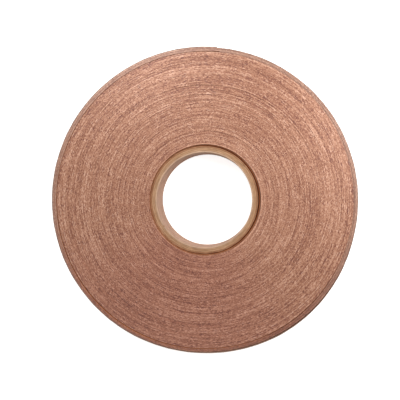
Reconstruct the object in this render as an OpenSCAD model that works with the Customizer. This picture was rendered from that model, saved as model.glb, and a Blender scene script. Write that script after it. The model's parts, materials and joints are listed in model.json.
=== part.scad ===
// Roll of copper foil tape on a paper core, lying flat on one wound face.
// Origin: on the axis of the core's bore, in the plane that the roll rests on. +Z is up.
// Units: millimetres and degrees. Angles run anticlockwise, seen from above.

/* [Tape] */
// Width of the tape, which is the height of the roll as it lies
tape_w = 6.35; // [4:0.05:12]
// Thickness of the copper foil
foil_t = 0.032; // [0.02:0.002:0.06]
// Thickness of the adhesive on the foil's inner side
adhesive_t = 0.025; // [0.015:0.005:0.05]
// Thickness of the paper liner that covers the adhesive
liner_t = 0.08; // [0.05:0.01:0.12]
// Air between the adhesive and the liner where it lets go
release_gap = 0.02; // [0.01:0.005:0.04]

/* [Roll] */
// Outside diameter of the roll at the tape's free end
roll_d = 81.6; // [70:0.2:110]
// Depth of the loose outer turns, from the outside in to the tight ones
loose_depth = 1.3; // [1:0.02:1.6]
// Least air between the tight turns and the loose ones
slack_min = 0.05; // [0.03:0.01:0.1]
// Extra air that opens under the loose turns where the roll has sagged
slack_more = 0.2; // [0:0.01:0.24]
// Direction in which that air is widest
slack_at = 250; // [0:5:355]
// How far to each side of there the air reaches
slack_span = 110; // [60:5:150]
// How far the loose turns bulge out at their fullest
bulge_h = 0.42; // [0:0.02:0.8]
// Direction of the bulge
bulge_at = 308; // [270:2:330]
// How far to each side of there the bulge reaches
bulge_span = 48; // [30:2:70]
// How far the loose turns stand higher than the tight ones
loose_lift = 0.05; // [0.02:0.01:0.2]

/* [Free end] */
// Direction of the tip of the tape
tip_at = 85.5; // [60:0.5:120]
// Length of the free end that peels up
tail_len = 25; // [10:1:40]
// Slit between the free end and the rest of its turn, at the hinge line
hinge_gap = 0.2; // [0.15:0.05:0.5]
// Bare arc between the tip of the tape and the place where its turn begins
tip_gap = 0.7; // [0.5:0.1:2]
// Air under the outer turn and the free end
nest_gap = 0.02; // [0.01:0.005:0.04]

/* [Core] */
// Diameter of the bore
bore_d = 25.4; // [20:0.1:40]
// Thickness of one ply of kraft board
ply_t = 0.41; // [0.25:0.01:0.5]
// Glue line between two plies
glue_t = 0.015; // [0.01:0.005:0.03]
// Thickness of the loose paper ply round the outside of the core
wrap_t = 0.15; // [0.1:0.01:0.3]
// Air that the loose ply stands off the core on its slack side
wrap_slack = 0.5; // [0.1:0.01:0.6]
// Air between that ply and the winding if both were centred
core_play = 0.05; // [0.03:0.01:0.3]
// How far the core stops below the upper wound face
core_recess = 0.3; // [0:0.05:1]
// Width of the butt seam in each ply
seam_w = 0.25; // [0.1:0.05:0.5]
// Slant of the seams from the core's axis
seam_tilt = 55; // [30:5:60]
// Direction of the seam of the innermost ply
seam_at = 232; // [0:1:359]
// Turn from the seam of one ply to the seam of the next
seam_turn = -82.5; // [-150:0.5:-60]

/* [Hidden] */

$fn = 96;               // any count over 12 is a true circle
facet_angle = 2;        // turn between two points of a spiral outline
cut = 1;                // how far a cutter runs past what it cuts
ply_count = 4;          // plies glued to each other, without the loose one

// Core, from the bore outwards
core_h = tape_w - core_recess;
ply_step = ply_t + glue_t;
core_r = bore_d / 2 + ply_count * ply_step - glue_t;
wrap_shift = (wrap_slack - glue_t) / 2;     // the loose ply hugs the core on its -X side
wrap_in_r = core_r + glue_t + wrap_shift;
wrap_r = wrap_in_r + wrap_t;

// Winding: it hugs the core on the -X side, and the play opens on the +X side
pack_in_r = wrap_r + core_play;
pack_shift = core_play + wrap_shift - glue_t;
roll_r = roll_d / 2;
pack_r = roll_r - loose_depth;

// Layers of the outer turn, as depths below its outer surface
adhesive_top = foil_t;
adhesive_bottom = foil_t + adhesive_t;
liner_top = adhesive_bottom + release_gap;
liner_bottom = liner_top + liner_t;
lap_rise = liner_bottom + nest_gap;         // what one turn adds to the radius

// Outer turn, as angles back from the tip of the tape
tail_turn = arc_angle(tail_len);
hinge_turn = arc_angle(hinge_gap) / 2;
start_turn = 360 - arc_angle(tip_gap);

copper = [0.80, 0.50, 0.36];
wound = [0.72, 0.53, 0.44];
gum = [0.86, 0.80, 0.66];
liner_paper = [0.78, 0.65, 0.55];
kraft = [0.72, 0.57, 0.45];
wrap_paper = [0.78, 0.62, 0.50];

// Angle that an arc of the roll's outside takes
function arc_angle(arc) = arc / roll_r * 180 / PI;

// Smooth swell from 0 to 1 and back, within span of the direction mid
function swell(at, mid, span) =
    let (off = abs((at - mid + 540) % 360 - 180))
    off < span ? (1 + cos(180 * off / span)) / 2 : 0;

// Radius of the tape's outer surface, turned back from the tip by lap
function lap_r(lap) =
    roll_r - lap_rise * lap / 360 + bulge_h * swell(tip_at + lap, bulge_at, bulge_span);

// Radius inside the loose turns in the direction at
function slack_r(at) =
    pack_r + slack_min + slack_more * swell(at, slack_at, slack_span);

function polar(r, at) = [r * cos(at), r * sin(at)];
function reversed(list) = [for (i = [len(list) - 1 : -1 : 0]) list[i]];

// Stations from one lap angle to another, on the facets that all the layers share
function stations(from, to) = concat(
    [from],
    [for (i = [floor(from / facet_angle) + 1 : ceil(to / facet_angle) - 1]) i * facet_angle],
    [to]
);

// Points along the outer turn at a depth below its outer surface
function lap_points(from, to, depth) =
    [for (lap = stations(from, to)) polar(lap_r(lap) - depth, tip_at + lap)];

// Shortest distance between the two ends of the outer turn, over all its layers
function end_gap() = min([
    for (tip_depth = [0, liner_bottom], start_depth = [0, liner_bottom])
        norm(polar(lap_r(0) - tip_depth, tip_at)
            - polar(lap_r(start_turn) - start_depth, tip_at + start_turn))
]);

// One ply of the core with its slanted butt seam
module ply(inner_r, thickness, seam_dir) {
    outer_r = inner_r + thickness;
    half_run = core_h / 2 * tan(seam_tilt) + seam_w;
    seam_depth = outer_r - sqrt(inner_r * inner_r - half_run * half_run) + thickness;
    difference() {
        cylinder(r = outer_r, h = core_h);
        translate([0, 0, -cut]) cylinder(r = inner_r, h = core_h + 2 * cut);
        rotate([0, 0, seam_dir]) translate([outer_r, 0, core_h / 2]) rotate([seam_tilt, 0, 0])
            cube([2 * seam_depth, seam_w, 2 * (half_run + core_h)], center = true);
    }
}

// Ply of the glued core, counted from the bore
module core_ply(number) {
    color(kraft)
        ply(bore_d / 2 + (number - 1) * ply_step, ply_t, seam_at + (number - 1) * seam_turn);
}

// Loose outermost ply, which stands off the core on one side
module core_wrap() {
    color(wrap_paper)
        translate([wrap_shift, 0, 0]) ply(wrap_in_r, wrap_t, seam_at + ply_count * seam_turn);
}

// Tightly wound turns, stuck to each other as one ring
module tape_pack() {
    color(wound) translate([pack_shift, 0, 0]) difference() {
        cylinder(r = pack_r, h = tape_w);
        translate([0, 0, -cut]) cylinder(r = pack_in_r, h = tape_w + 2 * cut);
    }
}

// Loose turns under the outer one: their outside is the spiral that the outer turn lies on
module loose_turns() {
    seat = concat(
        lap_points(0, start_turn, lap_rise),
        [polar(lap_r(0) - lap_rise, tip_at + start_turn)]
    );
    inside = [for (at = [0 : facet_angle : 360 - facet_angle]) polar(slack_r(at), at)];
    color(wound) translate([pack_shift, 0, loose_lift]) difference() {
        linear_extrude(tape_w) polygon(seat);
        translate([0, 0, -cut]) linear_extrude(tape_w + 2 * cut) polygon(inside);
    }
}

// Strip of one layer of the tape, from one lap angle to another, between two depths
module strip(from, to, top, bottom) {
    translate([pack_shift, 0, loose_lift]) linear_extrude(tape_w)
        polygon(concat(lap_points(from, to, top), reversed(lap_points(from, to, bottom))));
}

// Outer turn, from the hinge line back to the place where it leaves the loose turns
module outer_turn(top, bottom) {
    strip(tail_turn + hinge_turn, start_turn, top, bottom);
}

module outer_turn_liner() {
    color(liner_paper) outer_turn(liner_top, liner_bottom);
}

module outer_turn_adhesive() {
    color(gum) outer_turn(adhesive_top, adhesive_bottom);
}

module outer_turn_foil() {
    color(copper) outer_turn(0, adhesive_top);
}

// Free end, from its tip back to the hinge line
module tail(top, bottom) {
    strip(0, tail_turn - hinge_turn, top, bottom);
}

module tail_liner() {
    color(liner_paper) tail(liner_top, liner_bottom);
}

module tail_adhesive() {
    color(gum) tail(adhesive_top, adhesive_bottom);
}

module tail_foil() {
    color(copper) tail(0, adhesive_top);
}

wound_area = PI * (pack_r * pack_r - pack_in_r * pack_in_r);
echo(tight_turns = (pack_r - pack_in_r) / (foil_t + adhesive_t + liner_t));
echo(tight_tape_length_m = wound_area / (foil_t + adhesive_t + liner_t) / 1000);
echo(outer_turn_least_gap_to_itself_mm = end_gap());
echo(hinge_axis_mm = [pack_shift, 0] + polar(lap_r(tail_turn), tip_at + tail_turn));

core_ply(1);  // core_ply_1
core_ply(2);  // core_ply_2
core_ply(3);  // core_ply_3
core_ply(4);  // core_ply_4
core_wrap();
tape_pack();
loose_turns();
outer_turn_liner();
outer_turn_adhesive();
outer_turn_foil();
tail_liner();
tail_adhesive();
tail_foil();
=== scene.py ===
import json
import math

import bpy
import numpy as np
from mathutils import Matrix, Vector


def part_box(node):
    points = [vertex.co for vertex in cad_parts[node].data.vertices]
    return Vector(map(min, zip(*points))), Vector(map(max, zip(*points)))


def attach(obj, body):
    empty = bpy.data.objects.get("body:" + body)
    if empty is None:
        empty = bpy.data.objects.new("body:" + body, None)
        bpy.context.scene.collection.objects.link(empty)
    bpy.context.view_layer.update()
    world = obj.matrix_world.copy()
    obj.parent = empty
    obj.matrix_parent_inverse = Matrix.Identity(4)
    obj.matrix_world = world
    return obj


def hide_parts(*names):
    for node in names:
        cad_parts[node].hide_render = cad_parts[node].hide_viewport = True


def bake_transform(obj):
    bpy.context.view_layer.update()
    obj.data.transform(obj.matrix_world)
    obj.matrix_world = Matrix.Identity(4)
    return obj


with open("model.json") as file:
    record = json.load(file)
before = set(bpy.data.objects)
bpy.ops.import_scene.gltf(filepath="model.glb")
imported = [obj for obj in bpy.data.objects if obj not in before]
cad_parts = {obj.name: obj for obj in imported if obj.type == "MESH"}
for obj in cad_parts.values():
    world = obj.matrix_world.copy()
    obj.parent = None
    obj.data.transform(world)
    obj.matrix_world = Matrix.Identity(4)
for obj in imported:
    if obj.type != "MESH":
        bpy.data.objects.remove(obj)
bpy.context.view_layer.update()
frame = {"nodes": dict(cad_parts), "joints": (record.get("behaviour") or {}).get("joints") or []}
mm = 0.001
rng = np.random.default_rng(36)


def toLinear(hexColour):
    channels = [int(hexColour[i:i + 2], 16) / 255 for i in (1, 3, 5)]
    return [c / 12.92 if c <= 0.04045 else ((c + 0.055) / 1.055) ** 2.4 for c in channels] + [1.0]


def addNode(tree, kind, values=None, links=None, stops=None, **settings):
    node = tree.nodes.new(kind)
    for name, value in settings.items():
        setattr(node, name, value)
    for key, value in (values or {}).items():
        node.inputs[key].default_value = value
    for key, socket in (links or {}).items():
        tree.links.new(socket, node.inputs[key])
    for i, (place, hexColour) in enumerate(stops or []):
        elements = node.color_ramp.elements
        element = elements[i] if i < 2 else elements.new(place)
        element.position = place
        element.color = toLinear(hexColour)
    return node


def evenStops(colours, spread):  # from dark to light, evenly spaced about a ramp's middle
    return list(zip(np.linspace(0.5 - spread, 0.5 + spread, len(colours)), colours))


def smoothNoise(count, span):  # unit noise whose features are about span samples long
    waves = np.fft.rfftfreq(count)
    soft = np.exp(-(math.pi * waves * span / 2) ** 2)
    line = np.fft.irfft(np.fft.rfft(rng.standard_normal(count)) * soft, count)
    return line / line.std()


def onCircle(radius, degrees):
    turn = np.radians(degrees)
    return radius * np.cos(turn), radius * np.sin(turn)


def polarAbout(points, centreX):
    x, y = points[:, 0] - centreX, points[:, 1]
    return np.degrees(np.arctan2(y, x)), np.hypot(x, y)


def swell(degrees, middle, span):  # rises from 0 to 1 and falls back, within span of the middle
    off = np.abs((degrees - middle + 540) % 360 - 180) / span
    return 0.5 + 0.5 * np.cos(np.pi * np.clip(off, 0, 1))


def makeObject(name, points, faces, materials, slots, sharpDegrees):
    mesh = bpy.data.meshes.new(name)
    mesh.from_pydata([tuple(p) for p in points], [], faces)
    for material in materials:
        mesh.materials.append(material)
    mesh.polygons.foreach_set("material_index", slots)
    mesh.validate()
    mesh.shade_smooth()
    mesh.set_sharp_from_angle(angle=math.radians(sharpDegrees))
    piece = bpy.data.objects.new(name, mesh)
    bpy.context.scene.collection.objects.link(piece)
    return piece


def sweep(sections):  # faces that join cross-sections, each a loop of points, and close both ends
    columns, count = sections.shape[:2]
    faces = []
    for i in range(columns - 1):
        for j in range(count):
            k = (j + 1) % count
            faces.append((i * count + j, i * count + k, (i + 1) * count + k, (i + 1) * count + j))
    last = (columns - 1) * count
    for j in range(count // 2 - 1):
        faces.append((j, count - 1 - j, count - 2 - j, j + 1))
        faces.append((last + j, last + j + 1, last + count - 2 - j, last + count - 1 - j))
    return sections.reshape(-1, 3), faces


def nodePoints(*names):
    return np.array([v.co for name in names for v in frame["nodes"][name].data.vertices])


packLow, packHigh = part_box("tape_pack")
looseLow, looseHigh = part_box("loose_turns")
windingX = (packLow.x + packHigh.x) / 2
hinge = Vector(frame["joints"][0]["pos_m"])
tipAngle = polarAbout(nodePoints("tail_foil"), windingX)[0].min()
hingeLap = math.degrees(math.atan2(hinge.y, hinge.x - windingX)) - tipAngle


def lapProfile(points, pick, limit=math.inf):  # radius by angle back from the tape's tip, up to a limit
    tolerance = 0.001      # degrees, so that the tip itself is at 0 and not at 360
    angles, radii = polarAbout(points, windingX)
    laps = np.round((angles - tipAngle + tolerance) % 360, 2)
    stations = np.unique(laps[radii < limit])
    return stations, np.array([pick(radii[(laps == lap) & (radii < limit)]) for lap in stations])


packRadii = polarAbout(nodePoints("tape_pack"), windingX)[1]
packInner, packOuter = packRadii.min(), packRadii.max()
foilLaps, foilRadii = lapProfile(nodePoints("outer_turn_foil", "tail_foil"), np.max)
middleOfLoose = (packOuter + foilRadii.min()) / 2
innerLaps, innerRadii = lapProfile(nodePoints("loose_turns"), np.min, middleOfLoose)
startLap = foilLaps.max()
print("frame read: tip at %.1f degrees, hinge %.1f back from it" % (tipAngle, hingeLap))


def newMaterial(name):
    material = bpy.data.materials.new(name)
    material.use_nodes = True
    tree = material.node_tree
    tree.nodes.clear()
    shader = addNode(tree, "ShaderNodeBsdfPrincipled")
    addNode(tree, "ShaderNodeOutputMaterial", links={"Surface": shader.outputs[0]})
    return material, tree, shader


ringJump = 7.31            # step through the noise from ring to ring, so that they have nothing in common
noiseRange = (0.3, 0.7)    # nearly all of a noise lies between these


def ringTone(tree, centreX, look):
    # noise drawn out along the circles round the axis: layers of (length mm, width mm, share of the tone)
    # a width below zero gives each ring of that width a tone of its own, with no blending into the next
    # patch is (size mm, least and greatest contrast): some places are smooth and others rough
    place = addNode(tree, "ShaderNodeTexCoord").outputs["Object"]
    flat = addNode(tree, "ShaderNodeVectorMath", {1: (1, 1, 0), 2: (-centreX, 0, 0)}, {0: place},
                   operation="MULTIPLY_ADD").outputs[0]
    heading = addNode(tree, "ShaderNodeVectorMath", links={0: flat}, operation="NORMALIZE").outputs[0]
    distance = addNode(tree, "ShaderNodeVectorMath", links={0: flat}, operation="LENGTH").outputs["Value"]
    height = addNode(tree, "ShaderNodeSeparateXYZ", links={0: place}).outputs["Z"]
    across = addNode(tree, "ShaderNodeMath", links={0: distance, 1: height}, operation="ADD").outputs[0]
    tone = None
    for lengthMm, widthMm, share in look["layers"]:
        rings = 1 / (abs(widthMm) * mm)
        level = addNode(tree, "ShaderNodeMath", {1: rings}, {0: across}, operation="MULTIPLY").outputs[0]
        if widthMm < 0:
            ring = addNode(tree, "ShaderNodeMath", links={0: level}, operation="FLOOR").outputs[0]
            level = addNode(tree, "ShaderNodeMath", {1: ringJump}, {0: ring}, operation="MULTIPLY").outputs[0]
        column = addNode(tree, "ShaderNodeCombineXYZ", links={"Z": level}).outputs[0]
        lengths = look["meanRadiusMm"] / lengthMm
        vector = addNode(tree, "ShaderNodeVectorMath", {1: [lengths] * 3}, {0: heading, 2: column},
                         operation="MULTIPLY_ADD").outputs[0]
        noise = addNode(tree, "ShaderNodeTexNoise", {"Scale": 1.0, "Detail": 1.0}, {"Vector": vector})
        layer = addNode(tree, "ShaderNodeMath", {1: share, 2: 0.0}, {0: noise.outputs[0]},
                        operation="MULTIPLY_ADD")
        if tone is not None:
            tree.links.new(tone, layer.inputs[2])
        tone = layer.outputs[0]
    if "patch" not in look:
        return tone
    sizeMm, least, greatest = look["patch"]
    spots = addNode(tree, "ShaderNodeTexNoise", {"Scale": 1 / (sizeMm * mm)}, {"Vector": place}).outputs[0]
    limits = {1: noiseRange[0], 2: noiseRange[1], 3: least, 4: greatest}
    contrast = addNode(tree, "ShaderNodeMapRange", limits, {0: spots}).outputs[0]
    centred = addNode(tree, "ShaderNodeMath", {1: 0.5}, {0: tone}, operation="SUBTRACT").outputs[0]
    patchy = addNode(tree, "ShaderNodeMath", {2: 0.5}, {0: centred, 1: contrast}, operation="MULTIPLY_ADD")
    return patchy.outputs[0]


def slitLaminate(name, colours, farSide=None):
    # slit edges of copper foil, gum and paper: satin pink-brown, in short streaks along the turns
    # on the far side they take other colours: it has a direction, and the cosines between which they change
    look = {
        "meanRadiusMm": 27.0,
        "layers": [
            (3.2, -0.15, 0.20),   # turn by turn; a turn is 0.137 mm, drawn a little wider so that it shows
            (16.0, -0.15, 0.27),
            (11.0, 0.60, 0.02),
            (60.0, 2.40, 0.05),
            (0.40, -0.15, 0.46),  # burrs of foil that catch the light
        ],
        "patch": (1.5, 0.75, 1.9),
        "spread": 0.16,
        "roughness": 0.5,
        "metallic": 0.5,
        "film": 1.0,              # gum smeared over the edges by the slitting: a thin soft sheen
        "filmRoughness": 0.4,
        "bump": 0.5,
        "bumpMm": 0.03,
    }
    material, tree, shader = newMaterial(name)
    tone = ringTone(tree, windingX, look)
    stops = evenStops(colours, look["spread"])
    colour = addNode(tree, "ShaderNodeValToRGB", links={0: tone}, stops=stops).outputs[0]
    if farSide is not None:
        stops = evenStops(farSide["colours"], look["spread"])
        farColour = addNode(tree, "ShaderNodeValToRGB", links={0: tone}, stops=stops).outputs[0]
        place = addNode(tree, "ShaderNodeTexCoord").outputs["Object"]
        flat = addNode(tree, "ShaderNodeVectorMath", {1: (1, 1, 0)}, {0: place}, operation="MULTIPLY")
        heading = addNode(tree, "ShaderNodeVectorMath", links={0: flat.outputs[0]}, operation="NORMALIZE")
        side = (*onCircle(1.0, farSide["at"]), 0.0)
        cosine = addNode(tree, "ShaderNodeVectorMath", {1: side}, {0: heading.outputs[0]},
                         operation="DOT_PRODUCT").outputs["Value"]
        least, greatest = farSide["cosines"]
        share = addNode(tree, "ShaderNodeMapRange", {1: least, 2: greatest}, {0: cosine},
                        interpolation_type="SMOOTHSTEP").outputs[0]
        mixed = addNode(tree, "ShaderNodeMix", links={0: share, 6: colour, 7: farColour}, data_type="RGBA")
        colour = mixed.outputs[2]       # sockets 6, 7 and 2 are this node's colours
    tree.links.new(colour, shader.inputs["Base Color"])
    shader.inputs["Metallic"].default_value = look["metallic"]
    shader.inputs["Roughness"].default_value = look["roughness"]
    shader.inputs["Coat Weight"].default_value = look["film"]
    shader.inputs["Coat Roughness"].default_value = look["filmRoughness"]
    relief = {"Strength": look["bump"], "Distance": look["bumpMm"] * mm}
    bump = addNode(tree, "ShaderNodeBump", relief, {"Height": tone})
    tree.links.new(bump.outputs[0], shader.inputs["Normal"])
    return material


def rolledCopper():
    # bright rolled copper foil: warm metal with a faint tarnish
    # its fine lengthwise rolling lines draw the reflections out
    look = {
        "colours": ["#cb8a6b", "#d69778", "#e0a487"],
        "spread": 0.20,
        "meanRadiusMm": 40.0,
        "layers": [(14.0, 6.0, 1.0)],
        "lineMm": 0.10,           # rolling lines are a few hundredths, drawn coarser so that they show
        "lineLengthMm": 14.0,
        "roughness": (0.14, 0.30),
        "stretch": 0.5,           # anisotropy across the rolling lines
        "acrossTheLines": 0.25,   # its direction, as a share of a turn
        "bump": 0.35,
        "bumpMm": 0.01,
    }
    material, tree, shader = newMaterial("rolled copper foil")
    tarnish = ringTone(tree, windingX, look)
    stops = evenStops(look["colours"], look["spread"])
    ramp = addNode(tree, "ShaderNodeValToRGB", links={0: tarnish}, stops=stops)
    tree.links.new(ramp.outputs[0], shader.inputs["Base Color"])
    uv = addNode(tree, "ShaderNodeUVMap", uv_map="along").outputs[0]
    grain = (1 / (look["lineLengthMm"] * mm), 1 / (look["lineMm"] * mm), 1)
    stretched = addNode(tree, "ShaderNodeVectorMath", {1: grain}, {0: uv}, operation="MULTIPLY").outputs[0]
    noise = addNode(tree, "ShaderNodeTexNoise", {"Scale": 1.0, "Detail": 3.0}, {"Vector": stretched})
    lines = noise.outputs[0]
    glossy, dull = look["roughness"]
    gloss = addNode(tree, "ShaderNodeMapRange", {3: glossy, 4: dull}, {0: lines})
    tree.links.new(gloss.outputs[0], shader.inputs["Roughness"])
    relief = {"Strength": look["bump"], "Distance": look["bumpMm"] * mm}
    bump = addNode(tree, "ShaderNodeBump", relief, {"Height": lines})
    tree.links.new(bump.outputs[0], shader.inputs["Normal"])
    shader.inputs["Metallic"].default_value = 1.0
    shader.inputs["Anisotropic"].default_value = look["stretch"]
    shader.inputs["Anisotropic Rotation"].default_value = look["acrossTheLines"]
    return material


def releasePaper():
    # calendered release paper: light tan, smooth, a slight silicone sheen
    look = {
        "colours": ["#a7836b", "#bb9880"],
        "spread": 0.15,
        "fibreMm": 0.6,           # flocks of fibres, as single ones are too fine to show
        "roughness": 0.55,
    }
    material, tree, shader = newMaterial("release paper")
    place = addNode(tree, "ShaderNodeTexCoord").outputs["Object"]
    fibre = addNode(tree, "ShaderNodeTexNoise", {"Scale": 1 / (look["fibreMm"] * mm), "Detail": 4.0},
                    {"Vector": place})
    stops = evenStops(look["colours"], look["spread"])
    ramp = addNode(tree, "ShaderNodeValToRGB", links={0: fibre.outputs[0]}, stops=stops)
    tree.links.new(ramp.outputs[0], shader.inputs["Base Color"])
    shader.inputs["Roughness"].default_value = look["roughness"]
    return material


def acrylicGum():
    # clear pressure-sensitive acrylic: a wet-looking film with the copper showing through
    look = {
        "colours": ["#c98f6d", "#d8a886"],
        "spread": 0.15,
        "rippleMm": 0.5,
        "roughness": 0.15,
        "bump": 0.3,
        "bumpMm": 0.01,
    }
    material, tree, shader = newMaterial("acrylic gum")
    place = addNode(tree, "ShaderNodeTexCoord").outputs["Object"]
    ripple = addNode(tree, "ShaderNodeTexNoise", {"Scale": 1 / (look["rippleMm"] * mm), "Detail": 2.0},
                     {"Vector": place}).outputs[0]
    stops = evenStops(look["colours"], look["spread"])
    ramp = addNode(tree, "ShaderNodeValToRGB", links={0: ripple}, stops=stops)
    tree.links.new(ramp.outputs[0], shader.inputs["Base Color"])
    relief = {"Strength": look["bump"], "Distance": look["bumpMm"] * mm}
    bump = addNode(tree, "ShaderNodeBump", relief, {"Height": ripple})
    tree.links.new(bump.outputs[0], shader.inputs["Normal"])
    shader.inputs["Roughness"].default_value = look["roughness"]
    return material


def kraftBoard(name, *colours):
    # unbleached kraft board: matt yellow-brown, with fibres lying round the tube and a slightly woolly cut
    look = {
        "meanRadiusMm": 13.5,
        "layers": [
            (1.6, 0.25, 0.5),     # bundles of fibres, as single ones are too fine to show
            (6.0, 1.5, 0.3),
            (0.3, 0.2, 0.2),
        ],
        "spread": 0.15,
        "roughness": 0.9,
        "bump": 0.5,
        "bumpMm": 0.05,
    }
    material, tree, shader = newMaterial(name)
    tone = ringTone(tree, 0.0, look)
    ramp = addNode(tree, "ShaderNodeValToRGB", links={0: tone}, stops=evenStops(colours, look["spread"]))
    tree.links.new(ramp.outputs[0], shader.inputs["Base Color"])
    relief = {"Strength": look["bump"], "Distance": look["bumpMm"] * mm}
    bump = addNode(tree, "ShaderNodeBump", relief, {"Height": tone})
    tree.links.new(bump.outputs[0], shader.inputs["Normal"])
    shader.inputs["Roughness"].default_value = look["roughness"]
    return material


# painted shade: towards the lower side the wound face is a little redder, where the lamps' sheen is missing,
# and its loose turns are darker
# painted highlight: near the core the inner turns are lighter on the lamps' side; to the left they are as
# dull as the others
faceColours = ["#64280f", "#7f4628", "#9b6648", "#b38064", "#c89b82"]
# painted shade for the lower side of the wound face
shadedFaceColours =["#5f230d", "#793d23", "#935a3f", "#aa7157", "#be8871"]
# painted shade for the lower side of the loose turns
shadedLooseColours = ["#5b3022", "#85513c", "#ae7559"]
laminate = slitLaminate("slit copper and paper laminate", faceColours,
                        {"at": 255, "cosines": (0.40, 1.0), "colours": shadedFaceColours})
looseLaminate = slitLaminate("slit laminate of the loose turns", ["#7a5040", "#976d57", "#ba917a"],
                             {"at": 262, "cosines": (0.10, 0.80), "colours": shadedLooseColours})
# painted highlight on the first turns round the core, brightest towards the lamps
highlighted = slitLaminate("burnished inner turns of the laminate", ["#97624a", "#b57f62", "#d5a185"],
                         {"at": 172, "cosines": (0.60, 0.95), "colours": faceColours})
slitEdge = slitLaminate("slit edge of the outer turn", ["#664e40", "#836859", "#a88c80"])
copper = rolledCopper()
paper = releasePaper()
gum = acrylicGum()
innerBoard = kraftBoard("kraft board of the bore", "#ad8d76", "#bf9c80", "#cfab8c")
board = kraftBoard("kraft board", "#9f7759", "#b18764", "#c19876")
darkBoard = kraftBoard("kraft board of the outer plies", "#855638", "#9b6b49", "#ae7f5f")
borePaper = kraftBoard("calendered face of the bore", "#a5816c", "#b38f7a", "#c2a08b")
# painted shade: dark brown paper for the walls of narrow gaps, where shade falls
shadedPaper = kraftBoard("kraft paper darkened as painted shade", "#9c5832", "#b0683e", "#c07a4c")
print("materials made")


def tightTurns():
    # one strip wound in a spiral: each modelled turn stands for two real ones, which show as one line
    winding = {
        "turns": 90,
        "stations": 256,        # points in each turn
        "taper": 8,             # points left out at either end, where the strip tapers to nothing
        # turns round the core that take the painted highlight
        "highlightedTurns": 1.4,
        "edgeMm": 0.036,        # how unevenly the edges of the turns line up
        "streakMm": 0.016,      # ripple along an edge
        "streakDegrees": 9,
        "dishMm": 0.05,         # slow rise and fall of the whole face
        "dishTurns": 9,
        "sharpDegrees": 30,
    }
    turns, stations = winding["turns"], winding["stations"]
    pitch = (packOuter - packInner) / (turns - 1)
    place = np.arange(winding["taper"], turns * stations - winding["taper"] + 1) / stations
    count = len(place)
    turnOf = place.astype(int)
    share = place - turnOf
    radii = [np.clip(packInner + (place + turn) * pitch, packInner, packOuter) for turn in (-1, 0)]
    heights = []
    for _ in range(2):
        perTurn = rng.standard_normal(turns + 1)
        stepped = perTurn[turnOf] * (1 - share) + perTurn[turnOf + 1] * share
        ripple = smoothNoise(count, winding["streakDegrees"] / 360 * stations)
        dish = smoothNoise(count, winding["dishTurns"] * stations)
        heightMm = stepped * winding["edgeMm"] + ripple * winding["streakMm"] + dish * winding["dishMm"]
        heights.append(heightMm * mm)
    points = []
    for radius in radii:
        x, y = onCircle(radius, tipAngle - place * 360)
        points.append(np.stack([windingX + x, y, packHigh.z + heights[0]], 1))
        points.append(np.stack([windingX + x, y, packLow.z + np.abs(heights[1])], 1))
    innerTop, innerBottom, outerTop, outerBottom = (i * count for i in range(4))
    faces, slots = [], []
    for s in range(count - 1):          # the two wound faces
        faces.append((innerTop + s, innerTop + s + 1, outerTop + s + 1, outerTop + s))
        faces.append((innerBottom + s, outerBottom + s, outerBottom + s + 1, innerBottom + s + 1))
        slots += [int(place[s] < winding["highlightedTurns"])] * 2
    for s in range(count - 1 - stations):       # the steps from one turn to the next
        n = s + stations
        faces.append((outerTop + s, outerTop + s + 1, innerTop + n + 1, innerTop + n))
        faces.append((outerBottom + s, innerBottom + n, innerBottom + n + 1, outerBottom + s + 1))
    slots += [0] * (len(faces) - len(slots))
    for s in range(stations):           # the walls of the first and last turn
        n = count - 1 - stations + s
        faces.append((innerTop + s, innerBottom + s, innerBottom + s + 1, innerTop + s + 1))
        faces.append((outerTop + n, outerTop + n + 1, outerBottom + n + 1, outerBottom + n))
        slots += [2, 0]                 # round the core it is the paper of the first turn, darkened as painted shade
    first, last, end = stations, count - 1 - stations, count - 1    # and the strip's own two blunt ends
    faces.append((innerTop, outerTop, innerTop + first, innerBottom + first, outerBottom, innerBottom))
    faces.append((outerTop + last, outerBottom + last, innerBottom + end, outerBottom + end,
                  outerTop + end, innerTop + end))
    slots += [0] * (len(faces) - len(slots))
    piece = makeObject("tight_turns", np.concatenate(points), faces, [laminate, highlighted, shadedPaper],
                       slots, winding["sharpDegrees"])
    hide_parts("tape_pack")
    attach(piece, "roll")


tightTurns()
print("tight turns wound")


tape = {
    "foil": 0.032 * mm,
    "gum": 0.025 * mm,
    "liner": 0.08 * mm,
    "releaseGap": 0.02 * mm,
    "stationDegrees": 1.5,
    "rows": 9,                # points across the tape's width
    "dentMm": 0.05,           # relief of the foil's outer face
    "bendMm": 5.0,            # length at the free end, in millimetres
    "sharedDegrees": 8.0,     # how far the free end's pieces run past the hinge line
    "sharpDegrees": 40,
}
laminateThickness = tape["foil"] + tape["gum"] + tape["liner"]


def layAlong(piece):  # a map that runs along the tape, in metres, so that its grain bends with it
    mapStart = 5       # degrees before the tip at which the map begins
    mesh = piece.data
    places = np.array([v.co for v in mesh.vertices])
    angle, radius = polarAbout(places, windingX)
    along = np.radians((angle - tipAngle + mapStart) % 360) * radius.mean()
    corners = np.zeros(len(mesh.loops), int)
    mesh.loops.foreach_get("vertex_index", corners)
    uv = mesh.uv_layers.new(name="along")
    uv.data.foreach_set("uv", np.stack([along[corners], places[corners, 2]], 1).ravel())


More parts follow.
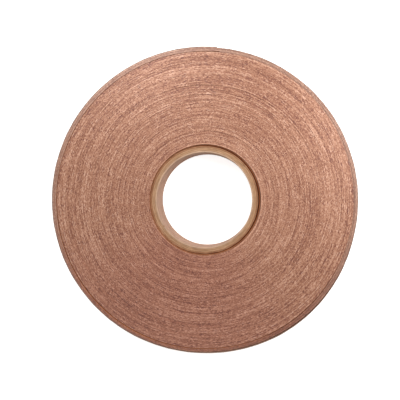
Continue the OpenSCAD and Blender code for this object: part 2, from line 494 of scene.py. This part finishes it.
def looseTurns():
    # five turns of the whole laminate that have slackened: they spread where the roll has sagged and bulges
    loose = {
        "turns": 5,
        "stations": 240,        # points in each turn
        "edgeMm": 0.03,         # how unevenly their edges line up
        "edgeTurns": 0.5,
        "openAt": 275,          # where they have the most room
        "openSpan": 100,
        "drift": 0.4,           # share of that room in which each wanders
        "driftDegrees": 50,
        "pushedIn": 0.5,        # share of that room which lies between the outer turn and the first of these
        "sunkMm": 0.15,         # how far all five have sunk from the outer turn, where they have done so most
        "sunkAt": 272,
        "sunkSpan": 50,
        "partTurns": 0.3,       # length over which the first of them parts from the outer turn
        "waviness": 0.9,        # share of the air between close turns that their waves fill
        "innerWaviness": 0.85,  # and of the air inside the innermost
        "innerStart": 0.03,     # length over which that one begins, in turns
        "lean": 0.85,           # share of the gap to the tight turns that the innermost leans across
        "leanMm": 0.6,          # depth over which they lean in
        "steepAt": 308,         # where they bulge, they stand upright, and the gap is deep and dark
        "steepSpan": 32,
        "crackAt": 3.83,        # turns back, where a thin crack shows between two turns that lie close
        "crackSpan": 0.12,
        "crackMm": 0.04,
        "sharpDegrees": 30,
    }
    turns, stations = loose["turns"], loose["stations"]
    total = turns * stations
    back = np.linspace(0, turns, total + 1)     # turns back from where the outer one begins
    lap = (startLap + back * 360) % 360
    angle = tipAngle + lap
    outside = np.interp(lap, foilLaps, foilRadii)
    inside = np.interp(lap, innerLaps, innerRadii, period=360)
    rise = (foilRadii[0] - foilRadii[-1]) / startLap * 360
    smooth = outside + rise * lap / 360
    step = (smooth - inside - rise - laminateThickness) / turns
    spare = np.clip(step - laminateThickness, 0, None)
    wander = np.tanh(smoothNoise(total + 1, loose["driftDegrees"] / 360 * stations))
    drift = wander * loose["drift"] * spare
    drift[0] = drift[-1] = 0
    opened = swell(angle, loose["openAt"], loose["openSpan"])
    parted = np.clip(back / loose["partTurns"], 0, 1)
    sunk = loose["sunkMm"] * mm * swell(angle, loose["sunkAt"], loose["sunkSpan"]) * parted
    pushed = loose["pushedIn"] * spare * opened * (turns * parted - back)
    crack = [np.exp(-((back - turn - loose["crackAt"]) / loose["crackSpan"]) ** 2) for turn in (0, 1)]
    top = smooth - rise - step * back + drift * opened - pushed - sunk - loose["crackMm"] * mm * crack[1]
    # where the turns lie close, their waves fill the air between them, and they are drawn that much thicker
    closed = 1 - opened
    thickness = laminateThickness + loose["waviness"] * spare * closed * (1 - crack[0])
    innermost = np.clip((back - turns + 1) / loose["innerStart"], 0, 1)
    airInside = np.clip(top - thickness - inside, 0, None)
    thickness = thickness + loose["innerWaviness"] * closed * innermost * airInside
    leaning = opened * (1 - swell(angle, loose["steepAt"], loose["steepSpan"])) * (back / turns) ** 2
    lean = loose["lean"] * (inside - packOuter - sunk) * leaning
    edge = smoothNoise(total + 1, loose["edgeTurns"] * stations) * loose["edgeMm"] * mm
    low, high = looseLow.z + np.abs(edge), looseHigh.z + edge
    shoulder = high - loose["leanMm"] * mm
    under = top - thickness
    loop = []
    for radius, z in ((top, high), (top - lean, shoulder), (top - lean, low),
                      (under - lean, low), (under - lean, shoulder), (under, high)):
        x, y = onCircle(radius, angle)
        loop.append(np.stack([windingX + x, y, z], 1))
    points, faces = sweep(np.stack(loop, 1))
    sides = [1, 1, 0, 2, 2, 0]      # foil outside, paper inside darkened as painted shade, slit edges between
    slots = sides * total + [0] * (len(faces) - len(sides) * total)
    piece = makeObject("loose_turns_wound", points, faces, [looseLaminate, copper, shadedPaper], slots,
                       loose["sharpDegrees"])
    layAlong(piece)
    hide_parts("loose_turns")
    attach(piece, "roll")


def dents(laps, row):  # soft unevenness of the foil from 0 to 1, the same at a place whichever piece asks
    steepness = 0.7
    waves = [  # how many in a turn, slant across the tape, start
        (11.3, 0.31, 0.7),
        (19.7, -0.52, 1.9),
        (33.1, 0.83, 4.2),
        (52.9, -1.10, 2.6),
        (87.7, 0.64, 5.5),
    ]
    turn = np.radians(laps)
    total = sum(np.sin(turn * often + row * slant + start) for often, slant, start in waves)
    return 0.5 + 0.5 * np.tanh(steepness * total)


def tapeLayer(name, fromLap, toLap, top, bottom, material, relief):
    laps = np.linspace(fromLap, toLap, int((toLap - fromLap) / tape["stationDegrees"]) + 2)
    outside = np.interp(laps, foilLaps, foilRadii)
    angle = tipAngle + laps
    rows = np.linspace(looseLow.z, looseHigh.z, tape["rows"])
    loop = []
    for row, z in enumerate(rows):
        x, y = onCircle(outside - top + dents(laps, row) * relief, angle)
        loop.append(np.stack([windingX + x, y, np.full_like(x, z)], 1))
    for z in rows[::-1]:
        x, y = onCircle(outside - bottom, angle)
        loop.append(np.stack([windingX + x, y, np.full_like(x, z)], 1))
    points, faces = sweep(np.stack(loop, 1))
    sides = [int(j % tape["rows"] == tape["rows"] - 1) for j in range(2 * tape["rows"])]    # 1: a slit edge
    slots = sides * (len(laps) - 1) + [1] * (len(faces) - len(sides) * (len(laps) - 1))
    piece = makeObject(name, points, faces, [material, slitEdge], slots, tape["sharpDegrees"])
    layAlong(piece)
    return piece


def outerTurn():
    gumTop = tape["foil"]
    linerTop = gumTop + tape["gum"] + tape["releaseGap"]
    layers = [  # name, top, bottom, material, nodes, body, slot, relief
        ("foil", 0.0, gumTop, copper, "foil", "free_end", "copper_foil", tape["dentMm"] * mm),
        ("gum", gumTop, gumTop + tape["gum"], gum, "adhesive", "free_end", "adhesive", 0.0),
        ("liner", linerTop, linerTop + tape["liner"], paper, "liner", "liner_end", "liner_paper", 0.0),
    ]
    split = hingeLap + tape["sharedDegrees"]
    for name, top, bottom, material, node, body, slot, relief in layers:
        turn = tapeLayer("outer_turn_%s_wound" % name, split, startLap, top, bottom, material, relief)
        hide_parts("outer_turn_%s" % node)
        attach(turn, "roll")
        end = tapeLayer("free_end_%s" % name, 0.0, split, top, bottom, material, relief)
        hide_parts("tail_%s" % node)
        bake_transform(end)


looseTurns()
outerTurn()
print("loose turns, outer turn and free end laid")


def corePly(name, node, seamDegrees, skiveDegrees, finishes, tuck):
    # a ring of board with a slanted butt seam, its cut edges eased and a little uneven
    # finishes are those of the cut, of the face to the bore and of the back
    # tuck is the share of the room under a loose ply that it leans in to fill, below its upper edge
    ply = {
        "columns": 256,
        "rows": 12,
        "easeMm": 0.05,
        "fuzzMm": 0.012,
        "fuzzColumns": 3,
        "fuzzPower": 8,         # the higher it is, the closer the fuzz keeps to the cut edges
        "seamMm": 0.25,
        "slant": 55.0,
        "tuckMm": 1.2,          # depth over which a loose ply leans in towards the glued ones
        "sharpDegrees": 50,
    }
    low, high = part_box(node)
    height = high.z - low.z
    centreX = (low.x + high.x) / 2
    radii = polarAbout(nodePoints(node), centreX)[1]
    inner, outer = radii.min(), radii.max()
    gluedRadius = polarAbout(nodePoints("core_ply_4"), 0)[1].max()
    slant = math.radians(ply["slant"])
    gap = math.degrees(ply["seamMm"] * mm / math.cos(slant) / inner)
    ease = ply["easeMm"] * mm
    rows = np.linspace(low.z + ease, high.z - ease, ply["rows"])
    wall = [(ease, low.z)] + [(0.0, z) for z in rows] + [(ease, high.z)]
    profile = [(inner + eased, z) for eased, z in wall] + [(outer - eased, z) for eased, z in wall[::-1]]
    share = np.linspace(0, 1, ply["columns"] + 1)
    fuzz = smoothNoise(ply["columns"] + 1, ply["fuzzColumns"]) * ply["fuzzMm"] * mm
    loop = []
    for radius, z in profile:
        up = (z - low.z) / height
        run = (up - 0.5) * height * math.tan(slant) / inner
        seam = seamDegrees - math.degrees(run) + skiveDegrees * (radius - inner) / (outer - inner)
        angle = seam + gap / 2 + share * (360 - gap)
        room = inner - gluedRadius + centreX * np.cos(np.radians(angle))
        x, y = onCircle(radius - tuck * room * min(1, (high.z - z) / (ply["tuckMm"] * mm)), angle)
        raised = fuzz * up ** ply["fuzzPower"] + np.abs(fuzz) * (1 - up) ** ply["fuzzPower"]
        loop.append(np.stack([centreX + x, y, z + raised], 1))
    points, faces = sweep(np.stack(loop, 1))
    count = len(profile)
    sides = [int(0 < j < count // 2 - 2) + 2 * int(count // 2 < j < count - 2) for j in range(count)]
    slots = sides * ply["columns"] + [2] * (len(faces) - count * ply["columns"])
    piece = makeObject(name, points, faces, finishes, slots, ply["sharpDegrees"])
    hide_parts(node)
    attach(piece, "roll")


def core():
    tube = {
        "firstSeam": 232.0,
        "seamTurn": -82.5,              # from each ply's seam to the next one's
        "skives": [1, 19, -10, 9, 5],   # how many degrees each seam turns on its way out through its ply
        "looseTuck": 0.9,
    }
    finishes = [
        (innerBoard, borePaper, board),
        (board, board, board),
        (board, board, board),
        # the dark paper on ply 4's back and on both sides of the loose ply is painted shade in the gaps
        (darkBoard, board, shadedPaper),
        (darkBoard, shadedPaper, shadedPaper),
    ]
    plies = [("core_board_%d" % number, "core_ply_%d" % number, "core_board", 0.0) for number in (1, 2, 3, 4)]
    plies.append(("core_loose_ply", "core_wrap", "core_paper", tube["looseTuck"]))
    for i, (name, node, slot, tuck) in enumerate(plies):
        seamDegrees = tube["firstSeam"] + i * tube["seamTurn"]
        corePly(name, node, seamDegrees, tube["skives"][i], finishes[i], tuck)


core()
print("core plies made")


def makeFloor():
    ground = {
        "size": 3.0,
        "colour": "#f4f2ef",
        "roughness": 0.9,
        "glow": 0.71,           # for the camera only, and not under the roll, as the floor there is in shade
        "boreMm": 12.9,         # radius of the floor that glows inside the bore
    }
    bpy.ops.mesh.primitive_plane_add(size=ground["size"], location=(0, 0, 0))
    floor = bpy.context.object
    floor.name = "floor"
    material, tree, shader = newMaterial("pale floor")
    shader.inputs["Base Color"].default_value = toLinear(ground["colour"])
    shader.inputs["Roughness"].default_value = ground["roughness"]
    shader.inputs["Emission Color"].default_value = toLinear("#ffffff")
    place = addNode(tree, "ShaderNodeTexCoord").outputs["Object"]
    distance = addNode(tree, "ShaderNodeVectorMath", links={0: place}, operation="LENGTH").outputs["Value"]
    inBore = addNode(tree, "ShaderNodeMath", {1: ground["boreMm"] * mm}, {0: distance}, operation="LESS_THAN")
    beside = addNode(tree, "ShaderNodeMath", {1: packHigh.y}, {0: distance}, operation="GREATER_THAN")
    inOpen = addNode(tree, "ShaderNodeMath", links={0: inBore.outputs[0], 1: beside.outputs[0]},
                     operation="ADD")
    cameraRay = addNode(tree, "ShaderNodeLightPath").outputs["Is Camera Ray"]
    seen = addNode(tree, "ShaderNodeMath", links={0: cameraRay, 1: inOpen.outputs[0]}, operation="MULTIPLY")
    glow = addNode(tree, "ShaderNodeMath", {1: ground["glow"]}, {0: seen.outputs[0]}, operation="MULTIPLY")
    tree.links.new(glow.outputs[0], shader.inputs["Emission Strength"])
    floor.data.materials.append(material)


def makeRoom():
    room = {"daylight": 0.43, "white": 1.0}     # what lights the roll, and what eyes and reflections see
    world = bpy.data.worlds.new("soft white room")
    bpy.context.scene.world = world
    world.use_nodes = True
    tree = world.node_tree
    tree.nodes.clear()
    rays = addNode(tree, "ShaderNodeLightPath").outputs
    seen = addNode(tree, "ShaderNodeMath", links={0: rays["Is Camera Ray"], 1: rays["Is Glossy Ray"]},
                   operation="ADD").outputs[0]
    seen = addNode(tree, "ShaderNodeMath", links={0: seen, 1: rays["Is Transmission Ray"]},
                   operation="ADD", use_clamp=True).outputs[0]
    strength = addNode(tree, "ShaderNodeMapRange", {3: room["daylight"], 4: room["white"]}, {0: seen})
    sky = addNode(tree, "ShaderNodeBackground", {"Color": toLinear("#ffffff")},
                  {"Strength": strength.outputs[0]})
    addNode(tree, "ShaderNodeOutputWorld", links={"Surface": sky.outputs[0]})


def hangLamps():
    lamps = {  # place in metres, and power
        "key": ((0.108, 0.062, 0.11), 0.182),
        "fill": ((-0.062, 0.108, 0.11), 0.118),
    }
    diameter = 0.12
    for name, (place, power) in lamps.items():
        data = bpy.data.lights.new(name, "AREA")
        data.shape = "DISK"
        data.size = diameter
        data.energy = power
        lamp = bpy.data.objects.new(name, data)
        lamp.location = place
        lamp.rotation_euler = (-Vector(place)).to_track_quat("-Z", "Y").to_euler()      # at the roll's middle
        bpy.context.scene.collection.objects.link(lamp)


def makeCamera():
    # the photograph's camera, placed by the bore's two rims: square on to the face, and off to its right
    view = {
        "rightMm": 15.91,
        "upMm": 1.97,
        "aboveMm": 98.64,       # over the wound face
        "lens": 33.37,
        "sensor": 36.0,
        "shiftX": -0.16,
        "shiftY": -0.0188,
        "nearest": 0.005,
        "furthest": 20.0,
    }
    data = bpy.data.cameras.new("camera")
    data.lens = view["lens"]
    data.sensor_width = view["sensor"]
    data.shift_x = view["shiftX"]
    data.shift_y = view["shiftY"]
    data.clip_start = view["nearest"]
    data.clip_end = view["furthest"]
    camera = bpy.data.objects.new("camera", data)
    camera.location = (view["rightMm"] * mm, view["upMm"] * mm, packHigh.z + view["aboveMm"] * mm)
    bpy.context.scene.collection.objects.link(camera)
    bpy.context.scene.camera = camera


makeFloor()
makeRoom()
hangLamps()
makeCamera()
bpy.context.scene.view_settings.view_transform = "Standard"
print("floor, room, lamps and camera set")
